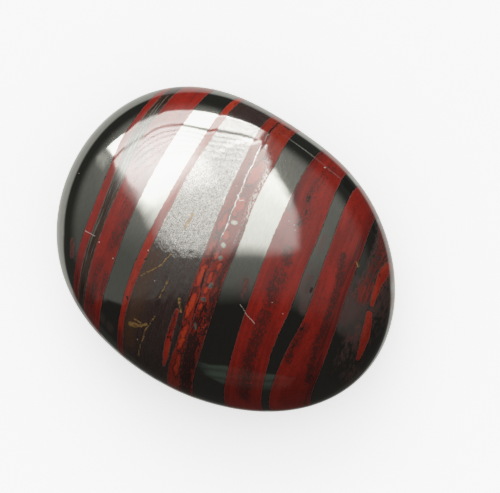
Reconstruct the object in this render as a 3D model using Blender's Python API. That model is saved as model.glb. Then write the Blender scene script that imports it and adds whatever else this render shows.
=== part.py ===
"""A polished, tumbled pebble of banded hematite, red jasper and tiger's eye, resting on a small flat spot.

Metres, +Z up, +X along the pebble. The origin is under the middle of the pebble, on the flat spot's level.
"""

import math

import bmesh
import bpy
from mathutils import Vector

# The pebble's height, and its girdle: the level where it is widest.
HEIGHT = 0.018
GIRDLE_HEIGHT = 0.0087

# The outline seen from above: a mean radius, and waves round it that make it an uneven oval, 38 by 30 mm.
# Each wave is its count round the outline, its cosine part and its sine part.
OUTLINE_RADIUS = 0.01695
OUTLINE_WAVES = (
    (1, -0.00031, 0.00016),
    (2, 0.00193, 0.00015),
    (3, 0.00018, 0.00017),
    (4, 0.00002, -0.00014),
    (5, 0.00013, 0.00003),
)

# The dome above the girdle and the fuller belly below it. A fullness of 2 is an ellipse, and more is squarer.
DOME_FULLNESS = 2.1
BELLY_FULLNESS = 2.3

# The belly would reach this far below the floor, and tumbling has worn it off flat there.
FLAT_SPOT_DEPTH = 0.0003

# The girdle isn't level: it rises by this much towards this side.
GIRDLE_RISE = 0.0007
GIRDLE_RISE_SIDE = math.radians(205)

# Facets round the pebble, and from its top to its bottom.
FACETS_ROUND = 72
FACETS_DOWN = 40

STONE_COLOUR = (0.085, 0.035, 0.03, 1.0)
STONE_ROUGHNESS = 0.08
STONE_METALLIC = 0.0


def clear_scene():
    for obj in list(bpy.data.objects):
        bpy.data.objects.remove(obj, do_unlink=True)


def stone_material():
    material = bpy.data.materials.new("polished_stone")
    material.use_nodes = True
    shader = material.node_tree.nodes["Principled BSDF"]
    shader.inputs["Base Color"].default_value = STONE_COLOUR
    shader.inputs["Roughness"].default_value = STONE_ROUGHNESS
    shader.inputs["Metallic"].default_value = STONE_METALLIC
    return material


def outline_radius(turn):
    """The pebble's radius at its girdle, at an angle round the Z axis."""
    radius = OUTLINE_RADIUS
    for count, cosine, sine in OUTLINE_WAVES:
        radius += cosine * math.cos(count * turn) + sine * math.sin(count * turn)
    return radius


def pebble_point(direction):
    """The place on the pebble that a direction from the middle of its girdle stands for."""
    turn = math.atan2(direction.y, direction.x)
    across = math.hypot(direction.x, direction.y)
    up = abs(direction.z)
    fullness = DOME_FULLNESS if direction.z > 0 else BELLY_FULLNESS
    reach = (across**fullness + up**fullness) ** (-1 / fullness)
    if direction.z > 0:
        depth = HEIGHT - GIRDLE_HEIGHT
    else:
        depth = -(GIRDLE_HEIGHT + FLAT_SPOT_DEPTH)
    radius = outline_radius(turn) * across * reach
    rise = GIRDLE_RISE * math.cos(turn - GIRDLE_RISE_SIDE) * across * reach * (1 - (up * reach) ** 2)
    return Vector((
        radius * math.cos(turn),
        radius * math.sin(turn),
        GIRDLE_HEIGHT + depth * up * reach + rise,
    ))


def wear_flat_spot(mesh):
    """Levels the lowest rings of the belly at the floor and makes them one flat face."""
    for vertex in mesh.verts:
        vertex.co.z = max(vertex.co.z, 0)
    worn = [face for face in mesh.faces if all(vertex.co.z == 0 for vertex in face.verts)]
    bmesh.ops.dissolve_faces(mesh, faces=worn, use_verts=True)


def centre_over_origin(mesh):
    """Moves the pebble so that the middle of its box is over the origin."""
    xs = [vertex.co.x for vertex in mesh.verts]
    ys = [vertex.co.y for vertex in mesh.verts]
    middle = Vector(((min(xs) + max(xs)) / 2, (min(ys) + max(ys)) / 2, 0))
    bmesh.ops.translate(mesh, verts=mesh.verts, vec=-middle)


def make_pebble(collection):
    shape = bmesh.new()
    bmesh.ops.create_uvsphere(shape, u_segments=FACETS_ROUND, v_segments=FACETS_DOWN, radius=1)
    for vertex in shape.verts:
        vertex.co = pebble_point(vertex.co.normalized())
    wear_flat_spot(shape)
    centre_over_origin(shape)
    bmesh.ops.recalc_face_normals(shape, faces=shape.faces)
    data = bpy.data.meshes.new("mugglestone")
    shape.to_mesh(data)
    shape.free()
    data.materials.append(stone_material())
    data.shade_smooth()
    pebble = bpy.data.objects.new("mugglestone", data)
    collection.objects.link(pebble)
    return pebble


def main():
    clear_scene()
    collection = bpy.data.collections.new("mugglestone")
    bpy.context.scene.collection.children.link(collection)
    make_pebble(collection)


main()
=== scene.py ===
"""A polished mugglestone: hematite, red jasper and dark tiger's-eye in slanting layers, on its flat spot."""

import math

import bmesh
import bpy
import numpy as np
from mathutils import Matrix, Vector


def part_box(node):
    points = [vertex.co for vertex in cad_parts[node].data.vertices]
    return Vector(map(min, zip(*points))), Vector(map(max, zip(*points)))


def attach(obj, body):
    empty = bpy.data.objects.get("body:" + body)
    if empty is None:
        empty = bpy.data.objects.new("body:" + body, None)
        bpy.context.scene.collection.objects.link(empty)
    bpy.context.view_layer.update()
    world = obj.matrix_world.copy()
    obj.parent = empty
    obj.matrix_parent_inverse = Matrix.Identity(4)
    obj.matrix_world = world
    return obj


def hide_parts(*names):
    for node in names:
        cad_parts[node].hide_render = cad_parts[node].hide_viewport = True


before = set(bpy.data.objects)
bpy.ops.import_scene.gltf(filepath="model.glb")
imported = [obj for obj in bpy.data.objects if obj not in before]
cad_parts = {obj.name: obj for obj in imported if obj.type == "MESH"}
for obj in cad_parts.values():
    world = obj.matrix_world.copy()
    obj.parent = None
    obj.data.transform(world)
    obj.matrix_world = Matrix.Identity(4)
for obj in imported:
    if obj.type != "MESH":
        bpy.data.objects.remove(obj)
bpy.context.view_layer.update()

MM = 0.001

# The pebble's form, in metres: the same rule as the solid that it stands for
HEIGHT = 0.018
GIRDLE_HEIGHT = 0.0087
OUTLINE_RADIUS = 0.01695
OUTLINE_WAVES = (
    # waves round the outline, cosine part, sine part
    (1, -0.00031, 0.00016),
    (2, 0.00193, 0.00015),
    (3, 0.00018, 0.00017),
    (4, 0.00002, -0.00014),
    (5, 0.00013, 0.00003),
)
DOME_FULLNESS = 2.1
BELLY_FULLNESS = 2.3
FLAT_SPOT_DEPTH = 0.0003
FLAT_SPOT_EDGE = 0.00012
GIRDLE_RISE = 0.0007
GIRDLE_RISE_SIDE = math.radians(205)
SKIN_DIVISIONS = 127

# Hand-polished unevenness, in metres, always inwards. A swell is made of many waves.
ROLL_DEPTH = 0.000004
ROLL_SWING = 0.5
ROLL_LENGTH = 0.007
ROLL_WAVES = 8
PEEL_DEPTH = 0.000004
PEEL_LENGTH = 0.0007
PEEL_WAVES = 24
SEAM_DEPTH = 0.000006
CALM_HEIGHT = 0.0015
WAVE_SPREAD = (0.75, 1.35)

# Inside an edge, in millimetres: where the orange peel is full, and where the jasper starts and ends its rise
PEEL_MARGIN = 0.5
JASPER_RISE = (-0.1, 0.3)
# The tiger's-eye is smooth above the first of these places along the layers, and wrinkled below the second
SILKY_FROM = 9.0
SILKY_FULL = 4.5

# Distances in the layering, in millimetres
OUT_OF_REACH = 5.0
NARROWEST_LAYER = 0.05

# The layers stand nearly across the long axis, lean with depth, and wander low down
LAYER_TURN = math.radians(103)
LAYER_LEAN = 0.27
WANDER_FROM = 10.5
WANDER_FULL = 16.0
WANDER_SIZE = 0.7
WANDER_LENGTH = 9
WANDER_WAVES = 6

# Layer edges, in millimetres: across the layers at these places along them, as they lie at the crown's height
STATIONS = (14, 10, 6, 2, -2, -6, -10, -13)
# The station that sorts the layers, and how far an edge runs on past the end ones, in gaps between two
MIDDLE_STATION = 3
RUN_ON = 0.6
LAYERS = {
    "outer seam": (
        (-24.3, -24.0, -23.8, -23.9, -23.6, -23.2, -22.8, -22.6),
        (-23.1, -22.6, -22.4, -22.6, -22.3, -21.8, -21.7, -21.5),
    ),
    "left seam": (
        (-15.8, -16.1, -16.2, -15.75, -15.4, -15.1, -14.4, -13.8),
        (-15.0, -15.35, -15.5, -14.95, -14.5, -14.2, -13.6, -13.0),
    ),
    "left band": (
        (-14.0, -14.1, -14.05, -13.7, -13.45, -13.15, -12.6, -12.2),
        (-11.05, -11.05, -11.1, -11.1, -10.95, -10.6, -10.35, -10.0),
    ),
    "bright seam": (
        (-8.45, -8.3, -8.35, -8.4, -8.45, -8.4, -8.05, -7.6),
        (-7.75, -7.55, -7.65, -7.6, -7.6, -7.55, -7.4, -6.9),
    ),
    "left strand": (
        (-4.15, -3.45, -2.95, -2.53, -2.08, -1.73, -1.18, -1.3),
        (-3.0, -2.26, -1.82, -1.41, -1.04, -0.64, -0.24, 0.0),
    ),
    "right strand": (
        (-2.92, -2.18, -1.73, -1.31, -0.94, -0.51, -0.2, 0.1),
        (-1.16, -0.48, -0.11, 0.52, 0.84, 1.26, 1.5, 1.5),
    ),
    "middle band": (
        (1.9, 2.5, 3.05, 3.5, 3.95, 4.35, 4.65, 4.8),
        (5.0, 6.2, 7.1, 7.6, 8.1, 8.1, 8.35, 8.5),
    ),
    "right band": (
        (6.4, 7.5, 8.45, 9.15, 9.65, 9.4, 9.2, 9.1),
        (8.5, 10.2, 11.4, 12.15, 12.75, 12.95, 12.6, 12.2),
    ),
}
RED_LAYERS = ("outer seam", "left seam", "left band", "middle band", "right band")
BRIGHT_LAYERS = ("bright seam", "left strand", "right strand")
STRANDS = ("left strand", "right strand")
TIGERS_EYE = (LAYERS["bright seam"][1], LAYERS["left strand"][0])
BROWN_LAYER = (LAYERS["left seam"][1], LAYERS["left band"][0])

# Short lenses of bright jasper: along, left edge, right edge
RIM_LENS_TOP = (
    (7.0, 13.2, 13.6),
    (5.3, 13.4, 14.1),
    (4.3, 13.7, 14.2),
    (3.3, 13.95, 14.4),
    (2.1, 14.3, 14.6),
)
RIM_LENS_FOOT = (
    (1.6, 14.3, 14.75),
    (0.3, 14.6, 15.25),
    (-0.7, 14.8, 15.5),
    (-1.7, 15.0, 15.6),
    (-3.6, 15.3, 15.55),
)
STRAND_LENS = (
    (-7.2, -2.5, -2.1),
    (-8.7, -2.5, -1.9),
    (-10.7, -2.4, -1.75),
    (-12.2, -2.2, -1.6),
    (-13.2, -2.0, -1.8),
)
LENSES = (RIM_LENS_TOP, RIM_LENS_FOOT, STRAND_LENS)

# Broken islands in the strands: across, along, half width, half length
ISLANDS = (
    (-1.6, 9.0, 0.55, 1.7),
    (-1.3, 5.1, 0.5, 1.3),
    (-1.07, 1.85, 0.36, 0.6),
    (-0.95, -0.45, 0.3, 0.65),
    (-0.16, -1.4, 0.3, 0.65),
    (-0.52, -2.8, 0.26, 0.85),
    (-0.35, -4.15, 0.28, 0.5),
    (0.45, -3.6, 0.24, 1.3),
    (-0.2, -5.95, 0.25, 0.5),
    (-0.05, -7.25, 0.2, 0.5),
    (0.95, -7.6, 0.3, 0.9),
    (-2.0, 2.9, 0.36, 1.4),
    (-1.75, 0.2, 0.36, 1.3),
    (-1.5, -2.9, 0.36, 1.6),
    (-1.25, -6.2, 0.42, 1.7),
    (-0.8, -9.5, 0.34, 1.6),
    (-0.45, -12.4, 0.36, 1.3),
    (-2.2, -8.6, 0.26, 0.9),
    (-2.05, -11.5, 0.32, 1.3),
)
# Grey eyes between them
EYES = (
    (-0.5, -0.5, 0.2, 0.26),
    (-0.89, 3.4, 0.27, 0.25),
    (-0.78, 0.8, 0.3, 0.28),
    (-0.14, -3.45, 0.17, 0.42),
    (-0.3, -5.1, 0.26, 0.2),
    (0.08, -8.0, 0.14, 0.3),
)
ISLAND_WAVER = 0.1
ISLAND_WAVER_LENGTH = 0.9
ISLAND_WAVER_WAVES = 12

# Strokes, in millimetres: half width, strength, then places across and along.
# A stroke is full to the first share of its half width, and gone at the second.
STROKE_CORE = 0.3
STROKE_FADE = 1.4
MOTTLES = (
    (0.65, 0.85, (5.15, 3.4), (5.7, 2.2)),
    (0.8, 0.8, (5.7, 0.7), (5.7, -1.1), (6.05, -2.4)),
    (0.75, 0.95, (6.1, -3.6), (6.3, -5.9), (6.3, -8.5), (6.5, -9.7), (6.8, -12.0)),
    (0.6, 0.55, (4.0, 12.8), (4.1, 9.9), (4.25, 9.1), (4.8, 7.8), (4.8, 6.3)),
    (0.5, 0.75, (1.8, 11.8), (2.2, 10.3), (2.5, 9.2), (2.9, 7.5)),
    (0.8, 0.7, (-11.4, -2.0), (-11.5, -4.6)),
    (0.6, 0.5, (-12.0, -1.4), (-12.3, 1.5)),
    (0.5, 0.65, (-10.9, -7.6), (-10.6, -9.3)),
    (0.6, 0.6, (-12.8, 6.2), (-13.0, 4.4)),
    (0.6, 0.6, (-12.0, -6.5), (-11.6, -10.5)),
    (0.4, 0.95, (10.0, 5.5), (10.35, 4.5), (11.05, 2.5), (11.35, 0.9), (11.65, -1.5)),
    (0.4, 0.95, (11.65, -1.5), (11.75, -3.5), (11.95, -5.7), (12.2, -7.7)),
    (0.45, 0.8, (10.1, -2.8), (9.9, -4.1), (9.8, -5.2), (9.8, -6.8)),
    (0.5, 0.6, (-1.75, 1.5), (-1.3, -1.5)),
    (0.7, 0.95, (0.1, -9.0), (0.3, -13.0)),
    (0.35, 0.7, (0.15, 4.0), (0.5, 1.0), (0.35, -2.5)),
    (0.4, 0.7, (-2.4, -7.6), (-2.2, -9.4)),
    (0.6, 0.8, (0.6, -3.0), (1.1, -8.0)),
)
FADED_MARGINS = (
    (0.75, 0.8, (2.0, 14.0), (2.3, 10.3), (3.0, 7.4)),
    (0.7, 0.85, (9.4, 12.5), (10.8, 8.5), (11.3, 5.0)),
    (0.6, 0.85, (11.3, 5.0), (11.9, 1.2), (12.25, -1.5), (12.45, -4.3), (12.6, -6.4), (12.4, -12.0)),
    (0.35, 0.6, (-11.35, 2.0), (-11.3, -1.0), (-11.2, -4.0)),
    (0.6, 0.8, (-14.6, -7.5), (-13.8, -11.5)),
    (0.8, 0.6, (-12.0, -9.5), (-11.5, -12.5)),
    (0.9, 0.9, (-7.4, -12.6), (-7.2, -14.5)),
    (0.45, 0.9, (0.6, 1.0), (0.3, -1.6), (0.7, -4.8), (1.05, -6.4)),
    (0.5, 0.8, (1.2, -8.8), (1.5, -9.8), (1.4, -12.0)),
    (0.8, 0.95, (0.4, -9.6), (0.6, -13.0)),
)
SMOKY_PATCHES = (
    (1.2, 1.0, (12.2, 3.2), (12.9, 1.8), (13.1, -0.2), (13.9, -1.1)),
    (0.8, 0.4, (2.9, -1.4), (3.3, -3.0)),
    (1.0, 1.0, (8.3, 2.6), (8.7, 1.4), (9.3, -1.0)),
    (0.3, 0.7, (7.6, 6.3), (7.9, 4.5)),
    (0.5, 0.5, (-10.2, -11.5), (-8.6, -12.2)),
)
RED_CLOUDS = (
    (0.8, 0.85, (10.9, 10.6), (12.4, 8.2), (13.3, 6.6)),
    (1.2, 0.8, (12.6, 8.4), (13.1, 6.4), (13.5, 4.4), (13.4, 2.8)),
    (0.4, 0.6, (-16.2, -5.9), (-15.6, -7.3)),
    (0.35, 0.55, (2.9, -1.4), (3.25, -2.3), (3.3, -3.0)),
    (0.35, 0.6, (8.5, 2.0), (8.75, 0.5)),
    (1.4, 0.45, (14.8, 3.5), (15.0, 0.5), (14.6, -2.0), (14.8, -5.5)),
)
HEMATITE_LACE = (
    (0.4, 0.9, (-0.75, 9.9), (-0.5, 8.3), (-0.45, 6.8), (-0.3, 5.7), (0.0, 4.2), (0.2, 2.6), (0.3, 1.7)),
    (0.3, 0.8, (-3.45, 8.5), (-3.2, 5.9), (-2.9, 4.4)),
    (0.5, 0.7, (-1.4, 10.8), (-0.9, 10.0)),
)
STRAND_GAPS = (
    (0.8, 0.85, (0.5, -9.4), (0.5, -10.5), (0.7, -12.0), (0.7, -14.5)),
    (0.7, 0.5, (0.5, -6.4), (0.4, -8.4)),
    (0.25, 0.75, (0.2, -5.4), (0.05, -6.9), (0.0, -8.2)),
    (0.2, 0.7, (0.9, -4.4), (1.15, -6.6), (1.25, -8.4)),
    (0.3, 0.6, (-1.75, -4.8), (-1.6, -7.0), (-1.35, -9.0)),
    (0.3, 0.7, (-2.6, -9.7), (-1.9, -10.3)),
)
GREEN_VEINS = (
    (0.25, 1.0, (-14.75, 12.0), (-14.6, 4.0), (-14.4, -1.0), (-14.15, -5.0), (-13.9, -7.0)),
    (0.2, 0.7, (-14.2, 5.0), (-14.0, 0.0)),
)
WARM_PATCHES = (
    (1.0, 0.9, (-6.9, -3.5), (-6.8, -6.0), (-6.5, -9.0), (-6.4, -12.5)),
    (0.8, 1.0, (-6.6, -10.9), (-6.0, -12.6)),
)

# Fine lines on the polish, in millimetres: half width, then places across and along
GOLD_THREADS = (
    (0.06, (-7.3, -5.85), (-6.65, -5.1), (-5.9, -4.15), (-5.3, -2.5)),
    (0.055, (-4.55, -7.0), (-4.4, -4.8)),
    (0.14, (-2.55, -6.2), (-1.95, -7.3)),
    (0.24, (-6.5, -10.8), (-5.9, -10.7)),
    (0.15, (-5.9, -10.7), (-5.3, -10.5), (-4.9, -10.1)),
    (0.08, (-6.2, -10.2), (-5.5, -10.25)),
    (0.07, (-4.3, -9.0), (-4.75, -10.7), (-4.87, -13.4)),
    (0.16, (-5.25, 0.7), (-5.15, 2.15)),
    (0.08, (11.3, 5.5), (11.72, 5.15)),
)
HEMATITE_VEINS = (
    (0.06, (-2.8, 11.8), (-2.62, 10.6), (-2.36, 9.6), (-2.3, 8.4), (-1.98, 7.1), (-1.95, 6.2), (-1.68, 4.9)),
    (0.05, (-1.68, 4.9), (-1.66, 4.0), (-1.4, 3.0), (-1.38, 1.0)),
    (0.035, (-1.95, 6.2), (-1.6, 5.6), (-1.2, 5.9)),
    (0.035, (-3.4, 8.3), (-3.17, 5.9), (-2.85, 4.5)),
    (0.07, (-2.85, 12.4), (-3.1, 13.3)),
)
DARK_CRACKS = (
    (0.07, (-3.1, 13.3), (-3.25, 14.9)),
    (0.07, (-2.65, 14.7), (-1.9, 14.6)),
    (0.07, (-1.35, -2.2), (-1.0, -3.9), (-0.66, -4.9), (-0.6, -6.4), (-0.5, -7.6)),
    (0.16, (4.2, 9.25), (4.3, 8.85)),
    (0.11, (4.75, 6.5), (4.8, 6.15)),
    (0.1, (4.75, 7.9), (4.85, 7.6)),
    (0.14, (9.05, 0.95), (9.1, 0.6)),
    (0.1, (-7.85, -8.5), (-7.75, -8.7)),
    (0.09, (-7.7, -4.2), (-7.45, -4.12)),
    (0.11, (9.95, -3.1), (9.85, -3.4)),
    (0.1, (9.8, -5.1), (9.75, -5.5)),
)
PALE_SCRATCHES = (
    (0.045, (3.46, -3.9), (3.9, -4.15), (4.4, -4.5), (5.56, -4.95)),
    (0.045, (-15.1, -4.37), (-13.85, -4.4)),
)
# Pale dots: half width, across, along
PALE_DOTS = (
    (0.085, -2.61, 6.85),
    (0.075, -5.71, -5.7),
    (0.085, -5.32, -11.95),
    (0.07, -19.0, 0.63),
    (0.09, -10.9, -5.6),
    (0.06, 7.63, -2.72),
    (0.06, 6.22, -2.19),
    (0.1, 3.5, 12.75),
    (0.1, -13.1, -4.75),
    (0.08, -7.7, -3.2),
    (0.07, -15.11, -4.37),
    (0.07, 3.44, -3.88),
    (0.1, 3.85, 6.1),
    (0.08, 4.5, 5.95),
    (0.09, 4.8, 5.55),
)
# Lines and dents reach this far below the crown, and the lines fade over the last stretch
THREAD_DEPTH_LIMIT = 10.0
LINES_FADE_DEPTH = 1.0

# Little dents in the polish, in millimetres: across, along, radius, depth
PITS = (
    (11.5, 5.35, 0.3, 0.015),
    (3.5, 12.75, 0.25, 0.01),
    (-15.1, -4.4, 0.25, 0.01),
    (-5.7, -5.7, 0.22, 0.008),
    (-5.3, -11.95, 0.25, 0.01),
    (-7.6, -4.1, 0.3, 0.012),
    (4.2, 9.0, 0.25, 0.008),
)


def outline_radius(turn):
    radius = np.full_like(turn, OUTLINE_RADIUS)
    for count, cosine, sine in OUTLINE_WAVES:
        radius += cosine * np.cos(count * turn) + sine * np.sin(count * turn)
    return radius


def soft_floor(height, edge):
    """Stops heights at nought, with a rounded edge of that size."""
    overlap = np.maximum(edge - np.abs(height), 0) / edge
    return np.maximum(height, 0) + overlap**2 * edge / 4


def pebble_points(directions):
    """Where the surface lies in each direction from the girdle's middle."""
    turn = np.arctan2(directions[:, 1], directions[:, 0])
    across = np.hypot(directions[:, 0], directions[:, 1])
    up = np.abs(directions[:, 2])
    dome = directions[:, 2] > 0
    fullness = np.where(dome, DOME_FULLNESS, BELLY_FULLNESS)
    reach = (across**fullness + up**fullness) ** (-1 / fullness)
    depth = np.where(dome, HEIGHT - GIRDLE_HEIGHT, -(GIRDLE_HEIGHT + FLAT_SPOT_DEPTH))
    radius = outline_radius(turn) * across * reach
    swing = np.cos(turn - GIRDLE_RISE_SIDE) * across * reach
    rise = GIRDLE_RISE * swing * (1 - (up * reach) ** 2)
    height = GIRDLE_HEIGHT + depth * up * reach + rise
    height = soft_floor(height, FLAT_SPOT_EDGE)
    return np.stack([radius * np.cos(turn), radius * np.sin(turn), height], axis=1)


def fit_to_box(points, low, high):
    """Scales each side a trace, so that the skin fills its solid's box and no more."""
    least = points.min(axis=0)
    most = points.max(axis=0)
    low = np.array(low)
    high = np.array(high)
    return low + (points - least) / (most - least) * (high - low)


def read_points(mesh, name):
    values = np.empty(len(mesh.vertices) * 3)
    mesh.vertices.foreach_get(name, values)
    return values.reshape(-1, 3)


def write_points(mesh, points):
    mesh.vertices.foreach_set("co", points.ravel())
    mesh.update()


def divided_cube():
    """A cube of even squares, which turns into a ball without poles."""
    mesh = bpy.data.meshes.new("mugglestone_skin")
    build = bmesh.new()
    bmesh.ops.create_cube(build, size=2)
    bmesh.ops.subdivide_edges(build, edges=build.edges, cuts=SKIN_DIVISIONS, use_grid_fill=True)
    build.to_mesh(mesh)
    build.free()
    return mesh


def even_directions(cube_points):
    """Spreads the cube's squares evenly over the ball."""
    spread = np.tan(cube_points * math.pi / 4)
    return spread / np.linalg.norm(spread, axis=1, keepdims=True)


def ripple(points, length, waves, seed):
    """An even, random swell from about -1 to 1, whose crests lie about that length apart."""
    random = np.random.default_rng(seed)
    swell = np.zeros(len(points))
    for _ in range(waves):
        direction = random.normal(size=3)
        direction /= np.linalg.norm(direction)
        spacing = length * random.uniform(*WAVE_SPREAD)
        phase = random.uniform(0, 2 * math.pi)
        swell += np.sin(points @ direction * 2 * math.pi / spacing + phase)
    return swell / math.sqrt(waves)


def smooth_step(value, low, high):
    share = np.clip((value - low) / (high - low), 0, 1)
    return share * share * (3 - 2 * share)


def edge_at(along, stations, places):
    """A smooth edge through its places at the stations, which runs on past them and then levels off."""
    stations = np.array(stations[::-1], float)
    places = np.array(places[::-1], float)
    slopes = np.gradient(places, stations)
    index = np.clip(np.searchsorted(stations, along) - 1, 0, len(stations) - 2)
    step = stations[index + 1] - stations[index]
    t = (along - stations[index]) / step
    t = np.clip(t, -RUN_ON, 1 + RUN_ON)
    inner = np.clip(t, 0, 1)
    value = (
        (2 * inner**3 - 3 * inner**2 + 1) * places[index]
        + (inner**3 - 2 * inner**2 + inner) * step * slopes[index]
        + (3 * inner**2 - 2 * inner**3) * places[index + 1]
        + (inner**3 - inner**2) * step * slopes[index + 1]
    )
    outer_slope = np.where(t > 1, slopes[index + 1], slopes[index])
    return value + (t - inner) * step * outer_slope


def layer_depth(layer, along, edges):
    """How far inside a layer's two edges each point lies, in millimetres: less than nought is outside."""
    left = edge_at(along, STATIONS, edges[0])
    right = edge_at(along, STATIONS, edges[1])
    return np.minimum(layer - left, right - layer)


def lens_depth(layer, along, rows):
    """The same for a short lens, which is given by rows of: along, left edge, right edge."""
    stations, left, right = zip(*rows)
    inside = np.minimum(
        layer - edge_at(along, stations, left),
        edge_at(along, stations, right) - layer,
    )
    return np.minimum(inside, np.minimum(stations[0] - along, along - stations[-1]))


def oval_depth(layer, along, ovals):
    """How far inside the nearest of the ovals each point lies."""
    inside = np.full(len(layer), -OUT_OF_REACH)
    for across, middle, half_width, half_length in ovals:
        out = np.hypot((layer - across) / half_width, (along - middle) / half_length)
        inside = np.maximum(inside, (1 - out) * half_width)
    return inside


def stroke_weight(layer, along, strokes):
    """How strongly a soft stroke covers each point, from 0 to 1."""
    weight = np.zeros(len(layer))
    for half_width, strength, *places in strokes:
        nearest = np.full(len(layer), OUT_OF_REACH)
        for start, end in zip(places, places[1:]):
            run = np.subtract(end, start)
            share = ((layer - start[0]) * run[0] + (along - start[1]) * run[1]) / (run @ run)
            share = np.clip(share, 0, 1)
            apart = np.hypot(layer - start[0] - share * run[0], along - start[1] - share * run[1])
            nearest = np.minimum(nearest, apart)
        gone = smooth_step(nearest, STROKE_CORE * half_width, STROKE_FADE * half_width)
        weight = np.maximum(weight, strength * (1 - gone))
    return weight


def layer_places(points):
    """Each point's place in the layering, in millimetres: across the layers, along them, below the crown."""
    spot = points / MM
    below = HEIGHT / MM - spot[:, 2]
    wander = smooth_step(below, WANDER_FROM, WANDER_FULL) * WANDER_SIZE
    across = spot[:, 0] * math.sin(LAYER_TURN) - spot[:, 1] * math.cos(LAYER_TURN)
    along = spot[:, 0] * math.cos(LAYER_TURN) + spot[:, 1] * math.sin(LAYER_TURN)
    layer = across - LAYER_LEAN * below + wander * ripple(spot, WANDER_LENGTH, WANDER_WAVES, seed=4)
    return layer, along, below


def follow_layers(layer, along):
    """Straightens the layers, so that a grain drawn in these places runs along their edges."""
    edges = [edge for pair in LAYERS.values() for edge in pair]
    edges.sort(key=lambda edge: edge[MIDDLE_STATION])
    middles = [edge[MIDDLE_STATION] for edge in edges]
    seams = [edge_at(along, STATIONS, edge) for edge in edges]
    straight = layer - seams[0] + middles[0]
    for index in range(len(edges) - 1):
        gap = np.maximum(seams[index + 1] - seams[index], NARROWEST_LAYER)
        share = np.clip((layer - seams[index]) / gap, 0, 1)
        inside = middles[index] + share * (middles[index + 1] - middles[index])
        straight = np.where(layer > seams[index], inside, straight)
    return np.where(layer > seams[-1], layer - seams[-1] + middles[-1], straight)


def keep(mesh, name, values):
    """Stores a number for each point of a mesh, for its material to read."""
    mesh.attributes.new(name, "FLOAT", "POINT").data.foreach_set("value", values)


def keep_vector(mesh, name, columns):
    values = np.stack(columns, axis=1).astype(np.float32)
    mesh.attributes.new(name, "FLOAT_VECTOR", "POINT").data.foreach_set("vector", values.ravel())


def deepest(layer, along, names):
    return np.max([layer_depth(layer, along, LAYERS[name]) for name in names], axis=0)


def dent_depth(layer, along, below):
    """How deep the little dents go, in metres, on the upper side only."""
    dents = np.zeros(len(layer))
    for across, middle, radius, depth in PITS:
        out = np.hypot(layer - across, along - middle) / radius
        dents = np.maximum(dents, depth * MM * (1 - smooth_step(out, 0, 1)))
    return dents * (below < THREAD_DEPTH_LIMIT)


def lay_strata(mesh, points):
    """Stores where every layer, island and stroke lies, and gives the depths that the relief follows."""
    layer, along, below = layer_places(points)
    keep_vector(mesh, "spot", (layer, along, below))
    keep_vector(mesh, "strata", (follow_layers(layer, along), along, below))
    red = deepest(layer, along, RED_LAYERS)
    bright = deepest(layer, along, BRIGHT_LAYERS)
    for rows in LENSES:
        bright = np.maximum(bright, lens_depth(layer, along, rows))
    tiger = layer_depth(layer, along, TIGERS_EYE)
    keep(mesh, "jasper", red)
    keep(mesh, "bright_jasper", bright)
    keep(mesh, "tigers_eye", tiger)
    keep(mesh, "brown_layer", layer_depth(layer, along, BROWN_LAYER))
    keep(mesh, "strands", deepest(layer, along, STRANDS))
    waver = ISLAND_WAVER * ripple(points / MM, ISLAND_WAVER_LENGTH, ISLAND_WAVER_WAVES, seed=6)
    keep(mesh, "islands", oval_depth(layer + waver, along, ISLANDS))
    keep(mesh, "eyes", oval_depth(layer + waver, along, EYES))
    strokes = {
        "mottled": MOTTLES,
        "faded": FADED_MARGINS,
        "smoky": SMOKY_PATCHES,
        "red_cloud": RED_CLOUDS,
        "lace": HEMATITE_LACE,
        "strand_gaps": STRAND_GAPS,
        "green": GREEN_VEINS,
        "warm": WARM_PATCHES,
    }
    for name, table in strokes.items():
        keep(mesh, name, stroke_weight(layer, along, table))
    return np.maximum(red, bright), tiger, dent_depth(layer, along, below)


def relief_depth(points, jasper, tiger, marks):
    """How far the polish has sunk: long swells, orange peel, a step down beside the jasper, and marks."""
    swell = ROLL_DEPTH * (1 + ROLL_SWING * ripple(points, ROLL_LENGTH, ROLL_WAVES, seed=1))
    smooth_top = smooth_step(layer_places(points)[1], SILKY_FULL, SILKY_FROM)
    soft = smooth_step(tiger, 0, PEEL_MARGIN) * (1 - smooth_top)
    peel = PEEL_DEPTH * soft * (1 + ripple(points, PEEL_LENGTH, PEEL_WAVES, seed=2))
    seam = SEAM_DEPTH * (1 - smooth_step(jasper, *JASPER_RISE))
    calm = smooth_step(points[:, 2], 0, CALM_HEIGHT)
    return np.maximum(swell + peel + seam + marks, 0) * calm


def make_skin():
    mesh = divided_cube()
    points = pebble_points(even_directions(read_points(mesh, "co")))
    points = fit_to_box(points, *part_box("mugglestone"))
    write_points(mesh, points)
    masks = lay_strata(mesh, points)
    normals = read_points(mesh, "normal")
    depth = relief_depth(points, *masks)
    write_points(mesh, points - normals * depth[:, None])
    mesh.shade_smooth()
    skin = bpy.data.objects.new("mugglestone_stone", mesh)
    bpy.context.scene.collection.objects.link(skin)
    return skin


# Node helpers

def add_node(tree, kind, inputs=None, **settings):
    """Adds a node, sets it up, and links or sets the inputs that are given."""
    node = tree.nodes.new(kind)
    for name, value in settings.items():
        setattr(node, name, value)
    for key, value in (inputs or {}).items():
        if isinstance(value, bpy.types.NodeSocket):
            tree.links.new(value, node.inputs[key])
        else:
            node.inputs[key].default_value = value
    return node


def end_tree(tree, shader, kind="ShaderNodeOutputMaterial"):
    add_node(tree, kind, {"Surface": shader.outputs[0]})


def reckon(tree, operation, first, second=0.0, third=0.0):
    return add_node(tree, "ShaderNodeMath", {0: first, 1: second, 2: third}, operation=operation).outputs[0]


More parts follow.
